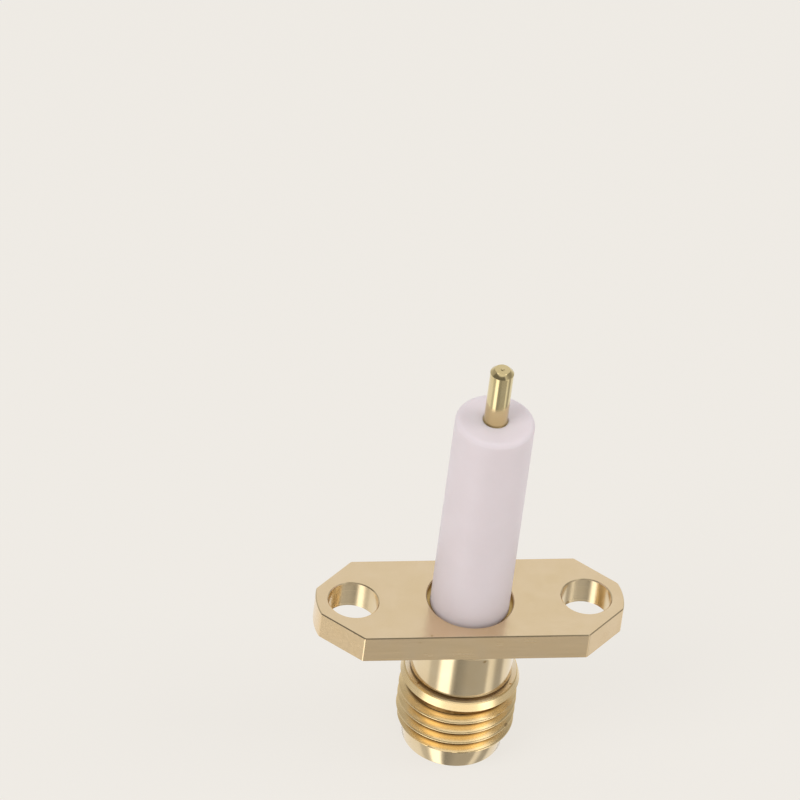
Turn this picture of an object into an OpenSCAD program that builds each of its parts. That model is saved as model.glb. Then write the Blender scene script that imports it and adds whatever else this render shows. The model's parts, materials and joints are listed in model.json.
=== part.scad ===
// Coaxial panel jack: a turned brass body with a threaded mating barrel and a two-hole
// flange, a long PTFE dielectric that stands out behind the flange, and a centre contact
// with a slotted socket at the mating end and a solder pin at the other.
//
// Frame: millimetres. The origin is the centre of the mating rim, +Z runs along the axis
// towards the solder pin, and +X runs along the flange's long direction.

/* [Mating mouth] */
// Bore that takes the mating connector's outer conductor
mouth_bore_d = 4.6; // [4.5:0.02:4.8]
// Depth of the dielectric's face below the mating rim
mouth_depth = 1.95; // [1.6:0.05:3]
// Chamfer at the mouth of the bore
mouth_chamfer = 0.12; // [0.04:0.01:0.2]
// Outside diameter of the plain lip in front of the thread
lip_d = 5.25; // [5.24:0.01:5.3]
// Length of the plain lip
lip_l = 0.95; // [0.6:0.05:1.2]
// Chamfer on the lip's outer edge
lip_edge = 0.08; // [0.02:0.01:0.1]

/* [Coupling thread] */
// Major diameter of the coupling thread
thread_d = 6.2; // [6.15:0.01:6.35]
// Thread pitch, 36 turns to the inch
thread_pitch = 0.7056; // [0.6:0.0001:0.72]
// Number of thread ridges between the lip and the relief groove
thread_ridges = 4; // [2:1:4]
// Length of the flat bottom of the relief groove behind the thread
thread_relief = 0.3; // [0.2:0.05:0.5]
// Length of the collar behind the relief groove
collar_l = 0.49; // [0.3:0.01:0.6]
// Amount that the collar's back end is tapered, on the radius
collar_taper = 0.15; // [0.02:0.01:0.2]
// Distance from the mating rim to the collar's back shoulder
barrel_l = 4.8; // [4.8:0.05:6]

/* [Neck] */
// Diameter of the smooth neck between the shoulder and the flange
neck_d = 5.3; // [5:0.05:5.8]
// Fillet where the neck meets the flange
neck_fillet = 0.42; // [0.1:0.01:0.6]

/* [Flange] */
// Distance from the mating rim to the flange's panel face
body_l = 9.5; // [8.5:0.1:12]
// Thickness of the flange
flange_t = 1.6; // [1.2:0.05:2.4]
// Width of the flange
flange_w = 5.9; // [5.6:0.1:6.4]
// Length along the flange that each corner cut takes from the end
corner_cut_l = 2.05; // [1.6:0.05:2.2]
// Width across the flange that each corner cut takes from the side
corner_cut_w = 1.95; // [1.6:0.05:2.1]
// Radius of the rounded ends between the corner cuts
end_r = 3.6; // [3.2:0.1:8]
// Distance between the centres of the two fixing holes
hole_spacing = 12.2; // [11:0.1:14]
// Distance from a fixing hole's centre to the flange's rounded end
hole_to_end = 1.95; // [1.75:0.05:2.6]
// Diameter of the fixing holes
hole_d = 2.6; // [2.2:0.05:2.8]

/* [Dielectric] */
// Diameter of the PTFE dielectric
dielectric_d = 4.1; // [3.9:0.02:4.3]
// Length of the dielectric that stands out behind the flange
dielectric_out = 12.4; // [4:0.1:20]
// Radius on the dielectric's free edge
dielectric_edge = 0.3; // [0.05:0.01:0.4]
// Radial gap between the dielectric and the bore that it is pressed into
dielectric_fit = 0.01; // [0.005:0.005:0.03]
// Diameter of the relief around the dielectric in the panel face
relief_d = 4.5; // [4.5:0.05:5]
// Depth of that relief
relief_depth = 0.3; // [0.2:0.05:1]

/* [Centre contact] */
// Diameter of the contact's shank
contact_d = 1.27; // [1.24:0.01:1.4]
// Bore of the contact's socket
socket_d = 0.94; // [0.9:0.01:1]
// Depth of the socket's bore
socket_depth = 2.9; // [2.4:0.1:3.6]
// Distance that the socket's end lies behind the dielectric's face
socket_set_back = 0.1; // [0:0.05:0.25]
// Number of slots that split the socket into spring fingers
slot_count = 4; // [2:1:4]
// Width of each slot
slot_w = 0.15; // [0.1:0.01:0.16]
// Length of each slot
slot_l = 2.1; // [1.6:0.1:2.3]
// Radial room for the spring fingers to open inside the dielectric
finger_room = 0.09; // [0.05:0.01:0.15]
// Largest diameter of the barb that locks the contact in the dielectric
barb_d = 1.75; // [1.5:0.05:2.2]
// Length of the barb
barb_l = 0.7; // [0.4:0.05:1.2]
// Distance from the mating rim to the barb's square face
barb_z = 7.4; // [6.4:0.1:8]
// Gap between the contact and the dielectric that grips it
contact_fit = 0.01; // [0.005:0.005:0.02]
// Diameter of the solder pin, turned down from the shank
pin_d = 1.22; // [1:0.01:1.24]
// Length of the solder pin beyond the dielectric
pin_out = 3.4; // [2:0.1:8]
// Chamfer at the solder pin's tip
pin_chamfer = 0.2; // [0.05:0.01:0.3]
// Diameter of the nib that turning leaves on the tip
nib_d = 0.22; // [0.1:0.01:0.3]
// Height of the nib
nib_h = 0.05; // [0.02:0.01:0.1]

/* [Hidden] */
$fn = 96;

gold = [0.84, 0.70, 0.42];
pin_gold = [0.80, 0.66, 0.38];
ptfe = [0.93, 0.90, 0.92];

// Amount that a cutter runs past the face it opens
past = 1;

// Coupling thread: a 60 degree form with a flat crest of P/8 and a flat root of P/4
thread_r = thread_d / 2;
thread_depth = 0.6134 * thread_pitch;
root_half = thread_pitch / 8;
flank_l = thread_pitch * 5 / 16;
relief_z = barrel_l - collar_l - flank_l - thread_relief;

// Barrel and neck
lip_r = lip_d / 2;
neck_r = neck_d / 2;

// Flange: the corner cuts start from the ends of the two arcs
flange_z = body_l - flange_t;
flange_l = hole_spacing + 2 * hole_to_end;
end_half_w = flange_w / 2 - corner_cut_w;
end_sag = end_r - sqrt(end_r * end_r - end_half_w * end_half_w);
end_x = flange_l / 2 - end_sag;

// Dielectric and contact
bore_r = dielectric_d / 2 + dielectric_fit;
dielectric_end_z = body_l + dielectric_out;
contact_r = contact_d / 2;
socket_z = mouth_depth + socket_set_back;
socket_end_z = socket_z + socket_depth;
drill_point_l = socket_d / 2 / tan(59);
pin_end_z = dielectric_end_z + pin_out;

// Outline of the barrel and neck, as radius and height, without the thread's grooves
module barrel_outline() {
    polygon([
        [0, 0],
        [lip_r - lip_edge, 0],
        [lip_r, lip_edge],
        [lip_r, lip_l],
        [thread_r, lip_l + thread_r - lip_r],
        [thread_r, barrel_l - collar_l],
        [thread_r - collar_taper, barrel_l],
        [neck_r, barrel_l],
        [neck_r, flange_z + flange_t / 2],
        [0, flange_z + flange_t / 2],
    ]);
}

// One groove, as radius and height, with its flat bottom from low to high and its flanks
// carried on past the crest at the thread's angle
module groove_outline(low, high) {
    run_l = flank_l * (thread_depth + past) / thread_depth;
    polygon([
        [thread_r - thread_depth, low],
        [thread_r - thread_depth, high],
        [thread_r + past, high + run_l],
        [thread_r + past, low - run_l],
    ]);
}

// The turned barrel and neck, with the relief groove and with the thread's grooves as rings
module barrel() {
    rotate_extrude() difference() {
        barrel_outline();
        groove_outline(relief_z, relief_z + thread_relief);
        for (i = [1 : thread_ridges - 1]) {
            root_z = relief_z + root_half - i * thread_pitch;
            groove_outline(root_z - root_half, root_z + root_half);
        }
    }
}

// The flange's plan: a bar with rounded ends and four cut corners
module flange_plan() {
    straight_x = end_x - corner_cut_l;
    intersection() {
        polygon([
            [straight_x, flange_w / 2],
            [end_x, end_half_w],
            [end_x + end_sag + past, end_half_w],
            [end_x + end_sag + past, -end_half_w],
            [end_x, -end_half_w],
            [straight_x, -flange_w / 2],
            [-straight_x, -flange_w / 2],
            [-end_x, -end_half_w],
            [-end_x - end_sag - past, -end_half_w],
            [-end_x - end_sag - past, end_half_w],
            [-end_x, end_half_w],
            [-straight_x, flange_w / 2],
        ]);
        union() {
            square([flange_l - 2 * end_r, flange_w + past], center = true);
            for (side = [-1, 1]) translate([side * (flange_l / 2 - end_r), 0]) circle(r = end_r);
        }
    }
}

module flange() {
    translate([0, 0, flange_z]) linear_extrude(flange_t) difference() {
        flange_plan();
        for (side = [-1, 1]) translate([side * hole_spacing / 2, 0]) circle(d = hole_d);
    }
}

// The turned fillet under the flange, cut flush where the flange's sides are milled
module fillet() {
    intersection() {
        rotate_extrude() difference() {
            translate([0, flange_z - neck_fillet]) square([neck_r + neck_fillet, neck_fillet]);
            translate([neck_r + neck_fillet, flange_z - neck_fillet]) circle(r = neck_fillet);
        }
        translate([0, 0, flange_z - neck_fillet]) linear_extrude(neck_fillet) flange_plan();
    }
}

// Turned brass body: lip, threaded barrel, neck and flange in one piece
module body() {
    color(gold) difference() {
        union() {
            barrel();
            fillet();
            flange();
        }
        translate([0, 0, -past]) cylinder(d = mouth_bore_d, h = mouth_depth + past);
        translate([0, 0, -past]) cylinder(r = bore_r, h = body_l + 2 * past);
        translate([0, 0, body_l - relief_depth]) cylinder(d = relief_d, h = relief_depth + past);
        cylinder(d1 = mouth_bore_d + 2 * mouth_chamfer, d2 = mouth_bore_d, h = mouth_chamfer);
    }
}

// Barb on the contact: it rises from the mating side and ends in a square face. The gap
// grows it on every side, for the pocket that it presses into the dielectric.
module barb(gap) {
    translate([0, 0, barb_z - barb_l - gap])
        cylinder(r1 = contact_r + gap, r2 = barb_d / 2 + gap, h = barb_l + 2 * gap);
}

// PTFE dielectric: a plain rod with the bore and the pocket for the contact
module dielectric() {
    rod_r = dielectric_d / 2;
    color(ptfe) difference() {
        union() {
            translate([0, 0, mouth_depth]) cylinder(r = rod_r, h = dielectric_end_z - mouth_depth - dielectric_edge);
            translate([0, 0, dielectric_end_z - 2 * dielectric_edge])
                cylinder(r = rod_r - dielectric_edge, h = 2 * dielectric_edge);
            translate([0, 0, dielectric_end_z - dielectric_edge]) rotate_extrude()
                translate([rod_r - dielectric_edge, 0]) circle(r = dielectric_edge);
        }
        translate([0, 0, mouth_depth - past])
            cylinder(r = contact_r + finger_room, h = socket_end_z - mouth_depth + past);
        translate([0, 0, socket_end_z - past])
            cylinder(r = contact_r + contact_fit, h = dielectric_end_z - socket_end_z + 2 * past);
        barb(contact_fit);
    }
}

// Turned contact: slotted socket, barbed shank and chamfered solder pin
module contact() {
    color(pin_gold) difference() {
        union() {
            translate([0, 0, socket_z]) cylinder(r = contact_r, h = dielectric_end_z - socket_z);
            translate([0, 0, dielectric_end_z - past]) cylinder(d = pin_d, h = pin_out - pin_chamfer + past);
            translate([0, 0, pin_end_z - pin_chamfer])
                cylinder(d1 = pin_d, d2 = pin_d - 2 * pin_chamfer, h = pin_chamfer);
            translate([0, 0, pin_end_z]) cylinder(d1 = nib_d, d2 = nib_d / 2, h = nib_h);
            barb(0);
        }
        translate([0, 0, socket_z - past]) cylinder(d = socket_d, h = socket_depth + past);
        translate([0, 0, socket_end_z]) cylinder(d1 = socket_d, d2 = 0, h = drill_point_l);
        for (i = [0 : slot_count - 1]) rotate(i * 360 / slot_count)
            translate([0, -slot_w / 2, socket_z - past]) cube([contact_d, slot_w, slot_l + past]);
    }
}

body();
dielectric();
contact();
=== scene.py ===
import json
import math

import bpy
from mathutils import Matrix, Vector


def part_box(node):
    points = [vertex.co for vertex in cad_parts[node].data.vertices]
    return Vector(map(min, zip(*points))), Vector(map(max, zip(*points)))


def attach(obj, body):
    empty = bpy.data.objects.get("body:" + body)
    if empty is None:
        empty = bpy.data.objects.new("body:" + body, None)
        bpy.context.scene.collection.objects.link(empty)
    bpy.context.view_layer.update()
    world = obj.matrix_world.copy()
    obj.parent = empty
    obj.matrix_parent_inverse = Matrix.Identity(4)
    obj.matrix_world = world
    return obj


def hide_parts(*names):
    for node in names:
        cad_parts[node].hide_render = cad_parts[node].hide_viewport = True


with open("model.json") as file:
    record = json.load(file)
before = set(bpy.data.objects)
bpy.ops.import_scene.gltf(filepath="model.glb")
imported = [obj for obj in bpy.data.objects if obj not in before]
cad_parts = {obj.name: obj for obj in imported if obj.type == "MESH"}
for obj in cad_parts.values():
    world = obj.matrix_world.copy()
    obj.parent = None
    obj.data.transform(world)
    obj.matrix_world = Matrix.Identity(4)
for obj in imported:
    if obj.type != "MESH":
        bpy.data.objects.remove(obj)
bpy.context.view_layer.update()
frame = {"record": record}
mounts = {mount["name"]: mount for mount in frame["record"]["mounts"]}

# Camera. A long lens looks down past the solder pin at the flange's panel face, from a
# little to the left of the front, and is turned slightly so that the part leans right.
MM = 0.001
camera_turn = math.radians(-13.3)
camera_height = math.radians(42.2)
camera_roll = math.radians(8.1)
camera_distance = 590 * MM
camera_lens = 514.4
looked_at = Vector((0, 0, mounts["panel_face"]["pos_m"][2]))
aim_left = 3.625 * MM
aim_above = 10.23 * MM

sight = Vector((
    -math.sin(camera_turn) * math.cos(camera_height),
    math.cos(camera_turn) * math.cos(camera_height),
    -math.sin(camera_height),
))
level_right = Vector((math.cos(camera_turn), math.sin(camera_turn), 0))
level_up = level_right.cross(sight)
right = math.cos(camera_roll) * level_right + math.sin(camera_roll) * level_up
up = right.cross(sight)
eye = looked_at - camera_distance * sight
forward = (looked_at - aim_left * right + aim_above * up - eye).normalized()
right = (right - forward * right.dot(forward)).normalized()
up = right.cross(forward)

camera_data = bpy.data.cameras.new("camera")
camera_data.lens = camera_lens
camera_data.sensor_width = 36
camera_data.clip_start = 0.01
camera = bpy.data.objects.new("camera", camera_data)
camera.matrix_world = Matrix.Translation(eye) @ Matrix((right, up, -forward)).transposed().to_4x4()
bpy.context.scene.collection.objects.link(camera)
bpy.context.scene.camera = camera
bpy.context.scene.view_settings.view_transform = "Standard"


# Table and studio. The part stands on its mating rim on a pale table, under a plain bright
# sky with two soft lamps. What the camera sees of the table is the background's colour,
# and it keeps a part of the lit table so that the shadow stays.
table_colour = (0.871, 0.840, 0.791, 1)
table_size = 1.6
table_shade = 0.16


def node(tree, kind, **settings):
    """Adds a node. A setting whose name is one of the node's sockets is that socket's value."""
    made = tree.nodes.new(kind)
    for name, value in settings.items():
        label = name.replace("_", " ").title()
        if label in made.inputs:
            made.inputs[label].default_value = value
        else:
            setattr(made, name, value)
    return made


def material(name):
    """A new material with its node tree emptied, and the tree's output node."""
    made = bpy.data.materials.new(name)
    made.use_nodes = True
    made.node_tree.nodes.clear()
    return made, made.node_tree, made.node_tree.nodes.new("ShaderNodeOutputMaterial")


def maths(tree, operation, first, second=0.0, clamp=False):
    """A Math node on two sockets or numbers, and its output."""
    made = tree.nodes.new("ShaderNodeMath")
    made.operation = operation
    made.use_clamp = clamp
    for slot, value in zip(made.inputs, (first, second)):
        if isinstance(value, bpy.types.NodeSocket):
            tree.links.new(value, slot)
        else:
            slot.default_value = value
    return made.outputs[0]


def seen_directly(tree):
    """1 for what the camera, a reflection or glass looks at, and 0 for light on its way."""
    path = tree.nodes.new("ShaderNodeLightPath")
    seen = maths(tree, "ADD", path.outputs["Is Camera Ray"], path.outputs["Is Glossy Ray"])
    return maths(tree, "ADD", seen, path.outputs["Is Transmission Ray"], clamp=True)


bpy.ops.object.select_all(action="DESELECT")
bpy.ops.mesh.primitive_plane_add(size=table_size)
table = bpy.context.object
table.name = "table"
table_paint, tree, output = material("table")
lit = node(tree, "ShaderNodeBsdfDiffuse", color=table_colour)
shown = node(tree, "ShaderNodeEmission", color=table_colour)
mix = tree.nodes.new("ShaderNodeMixShader")
tree.links.new(maths(tree, "MULTIPLY", seen_directly(tree), 1 - table_shade), mix.inputs[0])
tree.links.new(lit.outputs[0], mix.inputs[1])
tree.links.new(shown.outputs[0], mix.inputs[2])
tree.links.new(mix.outputs[0], output.inputs["Surface"])
table.data.materials.append(table_paint)

sky_strength = 0.62
world = bpy.data.worlds.new("studio")
bpy.context.scene.world = world
world.use_nodes = True
tree = world.node_tree
tree.nodes.clear()
sky = node(tree, "ShaderNodeBackground", color=(1, 0.985, 0.97, 1), strength=sky_strength)
backdrop = node(tree, "ShaderNodeBackground", color=table_colour, strength=1.0)
mix = tree.nodes.new("ShaderNodeMixShader")
output = tree.nodes.new("ShaderNodeOutputWorld")
tree.links.new(seen_directly(tree), mix.inputs[0])
tree.links.new(sky.outputs[0], mix.inputs[1])
tree.links.new(backdrop.outputs[0], mix.inputs[2])
tree.links.new(mix.outputs[0], output.inputs["Surface"])


def lamp(name, place, size, watts, colour=(1, 1, 1)):
    """A square soft lamp that faces the part."""
    light = bpy.data.lights.new(name, "AREA")
    light.shape = "SQUARE"
    light.size = size
    light.energy = watts
    light.color = colour
    made = bpy.data.objects.new(name, light)
    made.location = place
    made.rotation_euler = (looked_at - Vector(place)).to_track_quat("-Z", "Y").to_euler()
    made.visible_glossy = False
    bpy.context.scene.collection.objects.link(made)


lamp("left_lamp", (-0.26, -0.16, 0.34), 0.22, 0.62)
lamp("right_lamp", (0.30, -0.05, 0.30), 0.20, 0.34)


# Cards. Polished gold looks like what stands round it, so a shell of white and grey cards
# stands round the part. Only reflections see it, and they see it instead of the table.
# Each tone is an angle round the part from the camera's side, anticlockwise from above,
# and a brightness. The four rows go from the low cards to the ones overhead.
low_cards = [
    (-180, 0.97), (-76, 0.95), (-68, 0.66), (-52, 0.62), (-47, 1.0), (-41, 1.8), (-20, 1.8),
    (-14, 0.60), (-6, 0.30), (8, 0.38), (20, 0.46), (62, 0.48), (68, 1.0), (78, 0.9), (88, 0.46),
    (104, 0.44), (114, 0.93), (180, 0.97),
]
middle_cards = [
    (-180, 0.95), (-150, 0.85), (-130, 0.62), (-62, 0.66), (-52, 2.0), (-28, 2.0), (-20, 1.2),
    (38, 1.2), (46, 2.0), (64, 2.0), (74, 0.6), (130, 0.58), (150, 0.85), (180, 0.95),
]
high_cards = [
    (-180, 0.84), (-150, 0.8), (-130, 0.5), (-92, 0.5), (-80, 0.2), (36, 0.2), (48, 0.8),
    (66, 0.5), (90, 0.34), (118, 0.34), (134, 0.5), (150, 0.84), (180, 0.86),
]
top_cards = [
    (-180, 0.8), (-110, 0.5), (-97, 0.55), (-90, 1.9), (-66, 1.9), (-60, 0.95), (64, 0.95),
    (70, 1.9), (92, 1.9), (99, 0.5), (120, 0.45), (180, 0.8),
]
card_radius = 0.5
card_paint, tree, output = material("cards")
place = tree.nodes.new("ShaderNodeTexCoord")
turn = node(tree, "ShaderNodeMapping", vector_type="POINT")
turn.inputs["Rotation"].default_value = (0, 0, math.pi / 2 - camera_turn)
tree.links.new(place.outputs["Object"], turn.inputs["Vector"])
sweep = node(tree, "ShaderNodeTexGradient", gradient_type="RADIAL")
tree.links.new(turn.outputs[0], sweep.inputs["Vector"])
split = tree.nodes.new("ShaderNodeSeparateXYZ")
tree.links.new(place.outputs["Object"], split.inputs[0])


def card_row(tones):
    """The brightness of one row of cards, from the angle round the part."""
    ramp = tree.nodes.new("ShaderNodeValToRGB")
    stops = ramp.color_ramp.elements
    for number, (angle, tone) in enumerate(tones):
        where = (angle + 180) / 360
        stop = stops[number] if number < 2 else stops.new(where)
        stop.position = where
        stop.color = (tone, tone, tone, 1)
    tree.links.new(sweep.outputs["Fac"], ramp.inputs["Fac"])
    return ramp.outputs["Color"]


def above(start, end):
    """0 below one angle of height and 1 above another, in degrees."""
    step = tree.nodes.new("ShaderNodeMapRange")
    step.interpolation_type = "SMOOTHSTEP"
    tree.links.new(split.outputs["Z"], step.inputs["Value"])
    step.inputs["From Min"].default_value = card_radius * math.sin(math.radians(start))
    step.inputs["From Max"].default_value = card_radius * math.sin(math.radians(end))
    return step.outputs[0]


def tint(tree, share, first, second):
    """Two colours, each a socket or a value, mixed by a number socket."""
    mixed = node(tree, "ShaderNodeMix", data_type="RGBA")
    tree.links.new(share, mixed.inputs["Factor"])
    for slot, value in ((mixed.inputs[6], first), (mixed.inputs[7], second)):
        if isinstance(value, bpy.types.NodeSocket):
            tree.links.new(value, slot)
        else:
            slot.default_value = value
    return mixed.outputs[2]


rows = tint(tree, above(-36, -29), card_row(low_cards), card_row(middle_cards))
rows = tint(tree, above(6, 22), rows, card_row(high_cards))
rows = tint(tree, above(48, 56), rows, card_row(top_cards))
glow = node(tree, "ShaderNodeEmission", strength=1.0)
tree.links.new(rows, glow.inputs["Color"])
tree.links.new(glow.outputs[0], output.inputs["Surface"])
bpy.ops.object.select_all(action="DESELECT")
bpy.ops.mesh.primitive_uv_sphere_add(segments=64, ring_count=32, radius=card_radius)
cards = bpy.context.object
cards.name = "cards"
bpy.ops.object.shade_smooth()
cards.visible_camera = False
cards.visible_diffuse = False
cards.visible_shadow = False
cards.visible_transmission = False
cards.data.materials.append(card_paint)
table.visible_glossy = False


# Body: lip, coupling thread, collar, neck and flange, turned from one bar of brass, milled
# to the flange's outline, drilled, and gold plated. The barrel runs from the mating rim to
# joint_z in the neck, where the flange is joined to it. Modelled in millimetres.
turn_steps = 192
body_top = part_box("body")[1] / MM
panel_z = body_top.z
flange_half_l = body_top.x
thread_r = mounts["coupling_thread"]["dims"]["r_mm"]
mouth_r = mounts["mating_bore"]["dims"]["r_mm"]
dielectric_r = mounts["dielectric_barrel"]["dims"]["r_mm"]
hole_r = mounts["fixing_holes"]["dims"]["hole_r_mm"]
hole_x = mounts["fixing_holes"]["dims"]["spacing_x_mm"] / 2
mouth_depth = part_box("dielectric")[0].z / MM

lip_r, lip_l, lip_edge, mouth_chamfer = 2.625, 0.95, 0.08, 0.12
thread_pitch = 0.7056
thread_depth = 0.6134 * thread_pitch
crest_half, root_half = thread_pitch / 16, thread_pitch / 8
thread_corner = 0.16
thread_start = math.radians(-103)
thread_start_z = 1.35
thread_rows = 28
barrel_l, collar_l, collar_taper, relief_l = 4.8, 0.49, 0.15, 0.3
edge_break = 0.05
neck_r, neck_fillet, undercut, undercut_l = 2.65, 0.42, 0.06, 0.14
bore_r = dielectric_r + 0.01
joint_z = 7.3


def only(piece):
    """Makes one object the active one and the only one selected."""
    if bpy.context.object and bpy.context.object.mode != "OBJECT":
        bpy.ops.object.mode_set(mode="OBJECT")
    bpy.ops.object.select_all(action="DESELECT")
    piece.select_set(True)
    bpy.context.view_layer.objects.active = piece


def turned(name, outline, closed=False):
    """A turned shape: a circle drawn out along the outline's radii and heights. An outline
    that starts or ends at radius 0 gets a pole there, and a closed one meets its start."""
    path = list(outline)
    start_pole = path[0][0] == 0
    if start_pole:
        pole_z = path.pop(0)[1]
    end_pole = path[-1][0] == 0
    if end_pole:
        end_z = path.pop()[1]
    if closed:
        path.append(path[0])
    bpy.ops.object.select_all(action="DESELECT")
    radius, height = path[0]
    fill = "TRIFAN" if start_pole else "NOTHING"
    bpy.ops.mesh.primitive_circle_add(vertices=turn_steps, radius=radius, fill_type=fill)
    piece = bpy.context.object
    piece.name = name
    piece.data.name = name
    bpy.ops.object.mode_set(mode="EDIT")
    bpy.ops.transform.translate(value=(0, 0, height))
    if start_pole:
        bpy.ops.object.mode_set(mode="OBJECT")
        for point in piece.data.vertices:
            if math.hypot(point.co.x, point.co.y) < radius / 2:
                point.co.z = pole_z
            point.select = math.hypot(point.co.x, point.co.y) > radius / 2
        for edge in piece.data.edges:
            edge.select = all(piece.data.vertices[end].select for end in edge.vertices)
        for face in piece.data.polygons:
            face.select = False
        bpy.ops.object.mode_set(mode="EDIT")
        bpy.ops.mesh.select_mode(type="EDGE")
    for next_radius, next_height in path[1:]:
        bpy.ops.mesh.extrude_edges_move(TRANSFORM_OT_translate={"value": (0, 0, next_height - height)})
        grow = next_radius / radius
        bpy.ops.transform.resize(value=(grow, grow, 1), center_override=(0, 0, next_height))
        radius, height = next_radius, next_height
    if end_pole:
        bpy.ops.mesh.extrude_edges_move(TRANSFORM_OT_translate={"value": (0, 0, end_z - height)})
        bpy.ops.mesh.merge(type="CENTER")
    bpy.ops.mesh.select_all(action="SELECT")
    bpy.ops.mesh.remove_doubles(threshold=0.0005)
    bpy.ops.mesh.normals_make_consistent(inside=False)
    bpy.ops.object.mode_set(mode="OBJECT")
    return piece


def arc(centre_r, centre_z, radius, start, end, steps):
    """Points of a quarter or part circle in an outline, from one angle to another in degrees."""
    angles = [math.radians(start + (end - start) * step / steps) for step in range(steps + 1)]
    return [(centre_r + radius * math.cos(a), centre_z + radius * math.sin(a)) for a in angles]


def cut(piece, tool, operation="DIFFERENCE"):
    """Cuts one closed mesh out of another, or joins the two, and removes the tool."""
    only(piece)
    change = piece.modifiers.new("cut", "BOOLEAN")
    change.object = tool
    change.operation = operation
    change.solver = "EXACT"
    bpy.ops.object.modifier_apply(modifier=change.name)
    bpy.data.objects.remove(tool, do_unlink=True)


# The flange is a bar with four cut corners and rounded ends. All its outer edges are broken.
flange_t, flange_w, end_r = 1.6, 5.9, 3.6
corner_cut_l, corner_cut_w = 2.05, 1.95
end_half_w = flange_w / 2 - corner_cut_w
end_x = flange_half_l - end_r + math.sqrt(end_r**2 - end_half_w**2)
flange_z = panel_z - flange_t
end_angle = math.asin(end_half_w / end_r)
right_end = [(flange_half_l - end_r + end_r * math.cos(end_angle * step / 4),
              end_r * math.sin(end_angle * step / 4)) for step in range(-4, 5)]
right_half = [(end_x - corner_cut_l, -flange_w / 2)] + right_end + [(end_x - corner_cut_l, flange_w / 2)]
plan = right_half + [(-x, -y) for x, y in right_half]
bpy.ops.object.select_all(action="DESELECT")
bpy.ops.mesh.primitive_circle_add(vertices=len(plan), radius=flange_half_l, fill_type="NGON")
flange = bpy.context.object
for point, (x, y) in zip(flange.data.vertices, plan):
    point.co = (x, y, flange_z)
bpy.ops.object.mode_set(mode="EDIT")
bpy.ops.mesh.extrude_region_move(TRANSFORM_OT_translate={"value": (0, 0, flange_t)})
bpy.ops.mesh.select_all(action="SELECT")
bpy.ops.mesh.normals_make_consistent(inside=False)
bpy.ops.mesh.select_all(action="DESELECT")
bpy.ops.mesh.select_mode(type="EDGE")
bpy.ops.object.mode_set(mode="OBJECT")


def select_edges(piece, wanted):
    """Selects the edges whose two ends satisfy a rule, and nothing else."""
    mesh = piece.data
    for kind in (mesh.polygons, mesh.vertices, mesh.edges):
        for item in kind:
            item.select = False
    for edge in mesh.edges:
        edge.select = wanted(*(mesh.vertices[end].co for end in edge.vertices))


corner_points = [Vector((side * x, half * y)) for side in (-1, 1) for half in (-1, 1)
                 for x, y in ((end_x, end_half_w), (end_x - corner_cut_l, flange_w / 2))]
select_edges(flange, lambda a, b: (a.xy - b.xy).length < 0.001
             and any((a.xy - corner).length < 0.06 for corner in corner_points))
bpy.ops.object.mode_set(mode="EDIT")
bpy.ops.mesh.bevel(offset=0.07, offset_type="OFFSET", segments=3, affect="EDGES", clamp_overlap=True)
bpy.ops.object.mode_set(mode="OBJECT")
select_edges(flange, lambda a, b: abs(a.z - b.z) < 0.001)
bpy.ops.object.mode_set(mode="EDIT")
bpy.ops.mesh.bevel(offset=edge_break, offset_type="OFFSET", segments=1, affect="EDGES", clamp_overlap=True)
bpy.ops.object.mode_set(mode="OBJECT")

# The neck's end flares into the flange, and is sawn flush with the flange's long sides.
flare = arc(neck_r + neck_fillet, flange_z - neck_fillet, neck_fillet, 180, 104, 10)
neck_top = turned("neck_top", [(0, joint_z), (neck_r, joint_z)] + flare
                  + [(flare[-1][0], flange_z + flange_t / 2), (0, flange_z + flange_t / 2)])
bpy.ops.object.mode_set(mode="EDIT")
for side in (-1, 1):
    bpy.ops.mesh.select_all(action="SELECT")
    bpy.ops.mesh.bisect(plane_co=(0, side * (flange_w / 2 - edge_break), 0), plane_no=(0, side, 0),
                        use_fill=True, clear_outer=True, threshold=0.0001)
bpy.ops.object.mode_set(mode="OBJECT")
cut(flange, neck_top, "UNION")

# Drilling: the stepped bore for the dielectric, and two fixing holes with broken edges.
relief_r, relief_depth = 2.25, 0.3
past = 1
cut(flange, turned("bore_drill", [
    (0, joint_z - past), (bore_r, joint_z - past), (bore_r, panel_z - relief_depth),
    (relief_r, panel_z - relief_depth), (relief_r, panel_z - edge_break),
    (relief_r + edge_break, panel_z), (relief_r + edge_break, panel_z + past), (0, panel_z + past),
]))
for side in (-1, 1):
    drill = turned("hole_drill", [
        (0, flange_z - past), (hole_r + edge_break, flange_z - past), (hole_r + edge_break, flange_z),
        (hole_r, flange_z + edge_break), (hole_r, panel_z - edge_break), (hole_r + edge_break, panel_z),
        (hole_r + edge_break, panel_z + past), (0, panel_z + past),
    ])
    only(drill)
    bpy.ops.transform.translate(value=(side * hole_x, 0, 0))
    bpy.ops.object.transform_apply(location=True, rotation=False, scale=False)
    cut(flange, drill)

# The thread is cut as one right-hand helix. Each row of its mesh follows the helix, and the
# ends are cut away by the lead chamfer at the lip and by the flank of the relief groove.
flank_l = thread_pitch / 2 - crest_half - root_half
relief_z = barrel_l - collar_l - flank_l - relief_l
root_r = thread_r - thread_depth


def soft_clamp(value, width):
    """value kept between 0 and 1, with its two corners rounded over a width."""
    low = (value + math.sqrt(value * value + width * width)) / 2
    high = 1 - low
    return 1 - (high + math.sqrt(high * high + width * width)) / 2


def thread_radius(angle, height):
    """The thread's radius at an angle round the axis and a height above the mating rim."""
    crest_z = thread_start_z + thread_pitch * (angle - thread_start) / math.tau
    from_crest = abs((height - crest_z + thread_pitch / 2) % thread_pitch - thread_pitch / 2)
    level = soft_clamp((thread_pitch / 2 - root_half - from_crest) / flank_l, thread_corner)
    full = root_r + thread_depth * level
    lead = lip_r + (height - lip_l)
    flank = root_r + (relief_z - height) * thread_depth / flank_l
    return min(full, lead, max(flank, root_r))


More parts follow.
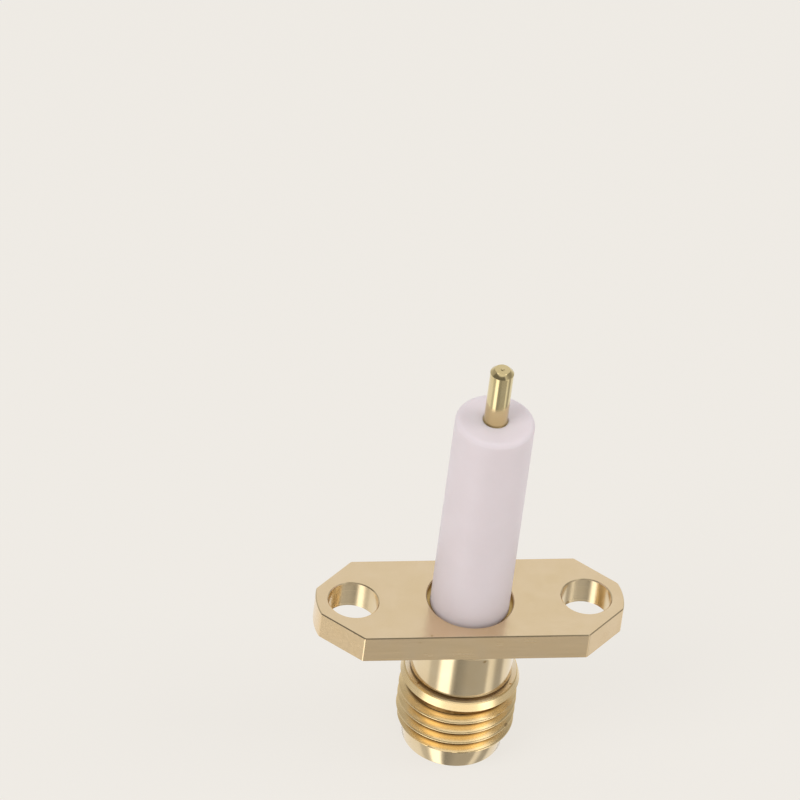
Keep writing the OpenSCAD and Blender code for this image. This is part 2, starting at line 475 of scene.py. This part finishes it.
rows = math.ceil((relief_z - lip_l + thread_pitch) / thread_pitch * thread_rows)
bpy.ops.object.select_all(action="DESELECT")
bpy.ops.mesh.primitive_grid_add(x_subdivisions=turn_steps, y_subdivisions=rows, size=2)
barrel = bpy.context.object
barrel.name = "body"
barrel.data.name = "body"
for point in barrel.data.vertices:
    angle = math.tau * (point.co.x + 1) / 2
    row_z = lip_l - thread_pitch + (point.co.y + 1) / 2 * rows * thread_pitch / thread_rows
    height = min(max(row_z + thread_pitch * angle / math.tau, lip_l), relief_z)
    radius = thread_radius(angle, height)
    point.co = (radius * math.cos(angle), radius * math.sin(angle), height)
bpy.ops.object.mode_set(mode="EDIT")
bpy.ops.mesh.select_all(action="SELECT")
bpy.ops.mesh.remove_doubles(threshold=0.0005)
bpy.ops.mesh.dissolve_degenerate(threshold=0.0001)
bpy.ops.object.mode_set(mode="OBJECT")

front = turned("front", [
    (lip_r, lip_l), (lip_r, lip_edge), (lip_r - 0.3 * lip_edge, 0.3 * lip_edge), (lip_r - lip_edge, 0),
    (mouth_r + mouth_chamfer, 0), (mouth_r, mouth_chamfer), (mouth_r, mouth_depth),
    (bore_r, mouth_depth), (bore_r, joint_z),
])
collar_z = barrel_l - collar_l
back = turned("back", [
    (root_r, relief_z), (root_r, relief_z + relief_l), (thread_r - edge_break, collar_z - edge_break / 2),
    (thread_r, collar_z + edge_break), (thread_r - collar_taper + edge_break / 3, barrel_l - edge_break),
    (thread_r - collar_taper - edge_break, barrel_l), (neck_r - undercut, barrel_l),
    (neck_r - undercut, barrel_l + undercut_l / 2), (neck_r, barrel_l + undercut_l), (neck_r, joint_z),
])
mesh = flange.data
only(flange)
for kind in (mesh.vertices, mesh.edges, mesh.polygons):
    for item in kind:
        item.select = False
for face in mesh.polygons:
    face.select = abs(face.center.z - joint_z) < 0.001 and face.normal.z < -0.9
bpy.ops.object.mode_set(mode="EDIT")
bpy.ops.mesh.select_mode(type="FACE")
bpy.ops.mesh.delete(type="ONLY_FACE")
bpy.ops.object.mode_set(mode="OBJECT")
bpy.ops.object.select_all(action="DESELECT")
for part in (front, back, flange, barrel):
    part.select_set(True)
bpy.context.view_layer.objects.active = barrel
bpy.ops.object.join()
bpy.ops.object.mode_set(mode="EDIT")
bpy.ops.mesh.select_mode(type="VERT")
bpy.ops.mesh.select_all(action="SELECT")
bpy.ops.mesh.remove_doubles(threshold=0.0008)
bpy.ops.mesh.delete_loose()
bpy.ops.mesh.select_all(action="SELECT")
bpy.ops.mesh.normals_make_consistent(inside=False)
bpy.ops.object.mode_set(mode="OBJECT")
bpy.ops.object.shade_smooth_by_angle(angle=math.radians(24))
body = barrel


def to_metres(piece):
    """Brings a piece that was modelled in millimetres to metres, in its mesh."""
    only(piece)
    bpy.ops.transform.resize(value=(MM, MM, MM), center_override=(0, 0, 0))
    bpy.ops.object.transform_apply(location=True, rotation=True, scale=True)


to_metres(body)

# Finishes of the plated brass. Tool marks, grain and mottling are shared node groups, which
# work in millimetres and give one number for the roughness, the colour or the bump.
def start_group(name, **numbers):
    """A new node group with number inputs and one number output, and its two end nodes."""
    made = bpy.data.node_groups.new(name, "ShaderNodeTree")
    for label, value in numbers.items():
        socket = made.interface.new_socket(label.title(), in_out="INPUT", socket_type="NodeSocketFloat")
        socket.default_value = value
    made.interface.new_socket("Value", in_out="OUTPUT", socket_type="NodeSocketFloat")
    return made, made.nodes.new("NodeGroupInput").outputs, made.nodes.new("NodeGroupOutput").inputs[0]


def use_group(tree, group, **numbers):
    """Puts a group in a material, and gives its output."""
    made = tree.nodes.new("ShaderNodeGroup")
    made.node_tree = group
    for label, value in numbers.items():
        made.inputs[label.title()].default_value = value
    return made.outputs[0]


def millimetres(tree):
    """The place on the piece in millimetres."""
    place = tree.nodes.new("ShaderNodeTexCoord")
    scaled = tree.nodes.new("ShaderNodeVectorMath")
    scaled.operation = "SCALE"
    scaled.inputs["Scale"].default_value = 1 / MM
    tree.links.new(place.outputs["Object"], scaled.inputs[0])
    return scaled.outputs[0]


def axes(tree, place):
    """The three coordinates of a place, and its distance from the axis."""
    split = tree.nodes.new("ShaderNodeSeparateXYZ")
    tree.links.new(place, split.inputs[0])
    x, y, z = split.outputs
    square = maths(tree, "ADD", maths(tree, "MULTIPLY", x, x), maths(tree, "MULTIPLY", y, y))
    return x, y, z, maths(tree, "SQRT", square)


def stretch(tree, value, low, high, start=0.0, end=1.0):
    """A number's range from low to high spread over start to end."""
    made = tree.nodes.new("ShaderNodeMapRange")
    tree.links.new(value, made.inputs["Value"])
    for label, number in (("From Min", low), ("From Max", high), ("To Min", start), ("To Max", end)):
        made.inputs[label].default_value = number
    return made.outputs[0]


# Fine rings that a turning tool leaves: they follow the height on a wall, and with Radial
# at 1 also the radius on a face.
turning_lines, given, result = start_group("turning_lines", spacing=0.06, radial=1.0)
tree = turning_lines
x, y, z, out = axes(tree, millimetres(tree))
along = maths(tree, "ADD", z, maths(tree, "MULTIPLY", out, given["Radial"]))
lines = node(tree, "ShaderNodeTexNoise", noise_dimensions="1D", scale=1.0, detail=3.0, roughness=0.6)
tree.links.new(maths(tree, "DIVIDE", along, given["Spacing"]), lines.inputs["W"])
tree.links.new(lines.outputs["Fac"], result)

# Streaks that a milling cutter and the finishing belt leave along the flange.
belt_streaks, given, result = start_group("belt_streaks", length=2.5, width=0.07)
tree = belt_streaks
x, y, z, out = axes(tree, millimetres(tree))
joined = tree.nodes.new("ShaderNodeCombineXYZ")
for slot, axis, size in zip(joined.inputs, (x, y, z), ("Length", "Width", "Width")):
    tree.links.new(maths(tree, "DIVIDE", axis, given[size]), slot)
streaks = node(tree, "ShaderNodeTexNoise", scale=1.0, detail=2.0, roughness=0.5)
tree.links.new(joined.outputs[0], streaks.inputs["Vector"])
tree.links.new(streaks.outputs["Fac"], result)

# Soft clouds, for plating and polish that are never quite even.
mottling, given, result = start_group("mottling", size=1.2)
tree = mottling
clouds = node(tree, "ShaderNodeTexNoise", detail=4.0, roughness=0.55)
tree.links.new(millimetres(tree), clouds.inputs["Vector"])
tree.links.new(maths(tree, "DIVIDE", 1.0, given["Size"]), clouds.inputs["Scale"])
tree.links.new(clouds.outputs["Fac"], result)

# Scattered specks: 1 in a speck and 0 round it. Share is how many cells have one.
specks, given, result = start_group("specks", size=0.5, share=0.12)
tree = specks
cells = node(tree, "ShaderNodeTexVoronoi", randomness=1.0)
tree.links.new(millimetres(tree), cells.inputs["Vector"])
tree.links.new(maths(tree, "DIVIDE", 1.0, given["Size"]), cells.inputs["Scale"])
cell_colour = tree.nodes.new("ShaderNodeSeparateXYZ")
tree.links.new(cells.outputs["Color"], cell_colour.inputs[0])
chosen = maths(tree, "LESS_THAN", cell_colour.outputs[0], given["Share"])
speck_size = maths(tree, "MULTIPLY", cell_colour.outputs[1], 0.25)
near = maths(tree, "SUBTRACT", maths(tree, "ADD", speck_size, 0.05), cells.outputs["Distance"])
inside = maths(tree, "MULTIPLY", near, 12.0, clamp=True)
tree.links.new(maths(tree, "MULTIPLY", chosen, inside, clamp=True), result)


def raised(tree, value, height_mm):
    """A bump from a number socket, for the shader's normal."""
    bump = node(tree, "ShaderNodeBump", strength=1.0, distance=height_mm * MM)
    tree.links.new(value, bump.inputs["Height"])
    return bump.outputs[0]


gold = (0.80, 0.645, 0.41, 1)
deep_gold = (0.77, 0.60, 0.36, 1)
stained = (0.55, 0.38, 0.18, 1)


def plated(name, marks, settings, mark_height, smooth, rough, pale=gold, deep=deep_gold):
    """Gold plate over one kind of tool marks, with its height in millimetres and the least
    and greatest roughness. Gives the material, its tree, its shader and its colour."""
    made, tree, output = material(name)
    clouds = use_group(tree, mottling, size=1.4)
    heights = use_group(tree, marks, **settings)
    shader = node(tree, "ShaderNodeBsdfPrincipled", metallic=1.0)
    colour = tint(tree, stretch(tree, clouds, 0.3, 0.75), pale, deep)
    colour = tint(tree, use_group(tree, specks, size=0.6, share=0.05), colour, stained)
    tree.links.new(colour, shader.inputs["Base Color"])
    gloss = maths(tree, "ADD", maths(tree, "MULTIPLY", heights, 0.6), maths(tree, "MULTIPLY", clouds, 0.4))
    tree.links.new(stretch(tree, gloss, 0.3, 0.7, smooth, rough), shader.inputs["Roughness"])
    tree.links.new(raised(tree, heights, mark_height), shader.inputs["Normal"])
    tree.links.new(shader.outputs[0], output.inputs["Surface"])
    return made, tree, shader, colour


turned_gold = plated("turned_gold", turning_lines, {"spacing": 0.06}, 0.0006, 0.10, 0.17)[0]
drilled_gold = plated("drilled_gold", turning_lines, {"spacing": 0.10, "radial": 0.0},
                      0.004, 0.16, 0.28)[0]
milled_gold = plated("milled_gold", belt_streaks, {"length": 3.0, "width": 0.14},
                     0.00015, 0.20, 0.29, (0.85, 0.65, 0.40, 1), (0.82, 0.61, 0.35, 1))[0]
satin_gold = plated("satin_gold", belt_streaks, {"length": 0.5, "width": 0.09},
                    0.0003, 0.19, 0.27, (0.83, 0.655, 0.43, 1), (0.80, 0.62, 0.38, 1))[0]

# In the thread the gold is painted darker towards the roots: painted shade where the crest above hides
# each root.
# The thread's gold is also painted brighter and more saturated than the body's, a painted highlight for
# the light that bounces between the flanks.
thread_gold, tree, shader, colour = plated(
    "thread_gold", turning_lines, {"spacing": 0.08},
    0.001, 0.20, 0.32, (0.88, 0.68, 0.38, 1), (0.84, 0.62, 0.31, 1))
x, y, z, out = axes(tree, millimetres(tree))
depth = stretch(tree, out, root_r + 0.03, root_r + 0.15)
tree.links.new(tint(tree, depth, (0.20, 0.11, 0.035, 1), colour), shader.inputs["Base Color"])

# The shoulder behind the collar is faced with a blunter tool, and its gold is painted pale, a painted
# sheen for the grey reflection it shows. The narrow relief round the dielectric is painted in dark gold,
# as painted shade in the gap beside the rod.
faced_gold = plated("faced_gold", turning_lines, {"spacing": 0.09},
                    0.001, 0.30, 0.42, (0.96, 0.88, 0.74, 1), (0.93, 0.83, 0.66, 1))[0]
relief_gold = plated("relief_gold", turning_lines, {"spacing": 0.07},
                     0.001, 0.25, 0.38, (0.56, 0.39, 0.16, 1), (0.46, 0.31, 0.11, 1))[0]

body.data.materials.clear()
for paint in (turned_gold, thread_gold, drilled_gold, milled_gold, satin_gold, faced_gold, relief_gold):
    body.data.materials.append(paint)
for face in body.data.polygons:
    centre = face.center / MM
    out = math.hypot(centre.x, centre.y)
    in_hole = math.hypot(abs(centre.x) - hole_x, centre.y) < hole_r + 1.2 * edge_break
    if centre.z > flange_z - 0.001 and in_hole:
        face.material_index = 2
    elif centre.z > flange_z - 0.001 and out > relief_r + 1.2 * edge_break:
        level, upright = abs(face.normal.z) > 0.95, abs(face.normal.z) < 0.05
        face.material_index = 4 if level else 3 if upright else 0
    elif lip_l - 0.01 < centre.z < barrel_l - 0.001 and out > root_r - 0.01:
        face.material_index = 1
    # The shoulder takes the pale gold of the painted sheen.
    elif barrel_l - 0.001 < centre.z < barrel_l + 0.001 and out > neck_r:
        face.material_index = 5
    # The undercut at the neck's foot takes the thread's gold, whose painted root shade makes a dark line
    # in the corner under the neck.
    elif barrel_l - 0.001 < centre.z < barrel_l + undercut_l and bore_r + 0.1 < out < neck_r:
        face.material_index = 1
    # The relief's faces take the dark gold of the painted shade in the gap round the rod.
    elif centre.z > panel_z - relief_depth - 0.001 and bore_r < out < relief_r + 0.001:
        face.material_index = 6
weighted = body.modifiers.new("weighted", "WEIGHTED_NORMAL")
weighted.keep_sharp = True
weighted.weight = 100
only(body)
bpy.ops.object.modifier_apply(modifier=weighted.name)
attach(body, "root")
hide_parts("body")


# Dielectric: one turned PTFE rod, pressed into the body's bore from the panel side. Its
# free end is rounded, and a bore with a pocket for the barb takes the contact.
rod_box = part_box("dielectric")
rod_end_z = rod_box[1].z / MM
rod_edge, front_edge = 0.3, 0.04
contact_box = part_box("contact")
socket_z = contact_box[0].z / MM
socket_r = mounts["contact_socket"]["dims"]["r_mm"]
socket_end_z = socket_z + mounts["contact_socket"]["dims"]["length_mm"]
contact_r, barb_r, barb_l, barb_z = 0.635, 0.875, 0.7, 7.4
finger_room, contact_fit = 0.09, 0.01
finger_r, grip_r = contact_r + finger_room, contact_r + contact_fit
rod = turned("dielectric", [
    (dielectric_r - front_edge, mouth_depth), (dielectric_r, mouth_depth + front_edge),
    (dielectric_r, panel_z), (dielectric_r, rod_end_z - rod_edge),
] + arc(dielectric_r - rod_edge, rod_end_z - rod_edge, rod_edge, 9, 90, 9) + [
    (grip_r + front_edge, rod_end_z), (grip_r, rod_end_z - front_edge),
    (grip_r, barb_z + contact_fit), (barb_r + contact_fit, barb_z + contact_fit),
    (grip_r, barb_z - barb_l - contact_fit), (grip_r, socket_end_z), (finger_r, socket_end_z),
    (finger_r, mouth_depth + front_edge), (finger_r + front_edge, mouth_depth),
], closed=True)
bpy.ops.object.shade_smooth_by_angle(angle=math.radians(24))
to_metres(rod)

ptfe, tree, output = material("turned_ptfe")
shader = node(tree, "ShaderNodeBsdfPrincipled", subsurface_weight=0.3, subsurface_scale=0.0008)
shader.inputs["Subsurface Radius"].default_value = (1.0, 0.85, 0.85)
shader.inputs["IOR"].default_value = 1.38
clouds = use_group(tree, mottling, size=2.2)
rings = use_group(tree, turning_lines, spacing=0.09)
milky = tint(tree, stretch(tree, clouds, 0.3, 0.7), (0.81, 0.735, 0.77, 1), (0.785, 0.71, 0.74, 1))
tree.links.new(milky, shader.inputs["Base Color"])
tree.links.new(stretch(tree, rings, 0.3, 0.7, 0.38, 0.52), shader.inputs["Roughness"])
tree.links.new(raised(tree, rings, 0.003), shader.inputs["Normal"])
tree.links.new(shader.outputs[0], output.inputs["Surface"])
rod.data.materials.append(ptfe)
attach(rod, "root")
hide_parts("dielectric")


# Centre contact: one turned and gold plated rod. Four saw cuts split its drilled socket
# into spring fingers, the barb locks it in the dielectric, and its far end is the pin.
pin_r = mounts["solder_pin"]["dims"]["r_mm"]
pin_chamfer, nib_r, nib_h = 0.2, 0.11, 0.05
pin_end_z = contact_box[1].z / MM - nib_h
slot_w, slot_l = 0.15, 2.1
small_edge = 0.02
contact = turned("contact", [
    (0, socket_end_z + socket_r / math.tan(math.radians(59))), (socket_r, socket_end_z),
    (socket_r, socket_z + 0.06), (socket_r + 0.06, socket_z), (contact_r - small_edge, socket_z),
    (contact_r, socket_z + small_edge), (contact_r, barb_z - barb_l), (barb_r, barb_z - small_edge),
    (barb_r - small_edge, barb_z), (contact_r, barb_z), (contact_r, rod_end_z - small_edge),
    (contact_r - small_edge, rod_end_z), (pin_r, rod_end_z), (pin_r, pin_end_z - pin_chamfer - small_edge),
    (pin_r - small_edge / 2, pin_end_z - pin_chamfer),
    (pin_r - pin_chamfer + small_edge / 2, pin_end_z - small_edge),
    (pin_r - pin_chamfer - small_edge, pin_end_z), (nib_r, pin_end_z),
    (nib_r * 0.8, pin_end_z + nib_h * 0.7), (nib_r / 2, pin_end_z + nib_h), (0, pin_end_z + nib_h),
])
for turn in (0, 90):
    bpy.ops.object.select_all(action="DESELECT")
    bpy.ops.mesh.primitive_cube_add(size=1, location=(0, 0, socket_z + (slot_l - past) / 2))
    saw = bpy.context.object
    bpy.ops.transform.resize(value=(4 * contact_r, slot_w, slot_l + past))
    saw.rotation_euler = (0, 0, math.radians(turn))
    bpy.ops.object.transform_apply(location=True, rotation=True, scale=True)
    cut(contact, saw)
only(contact)
bpy.ops.object.shade_smooth_by_angle(angle=math.radians(24))
to_metres(contact)
pin_gold = plated("contact_gold", turning_lines, {"spacing": 0.05},
                  0.0005, 0.10, 0.18, (0.74, 0.61, 0.34, 1), (0.68, 0.54, 0.27, 1))[0]
contact.data.materials.append(pin_gold)
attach(contact, "root")
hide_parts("contact")
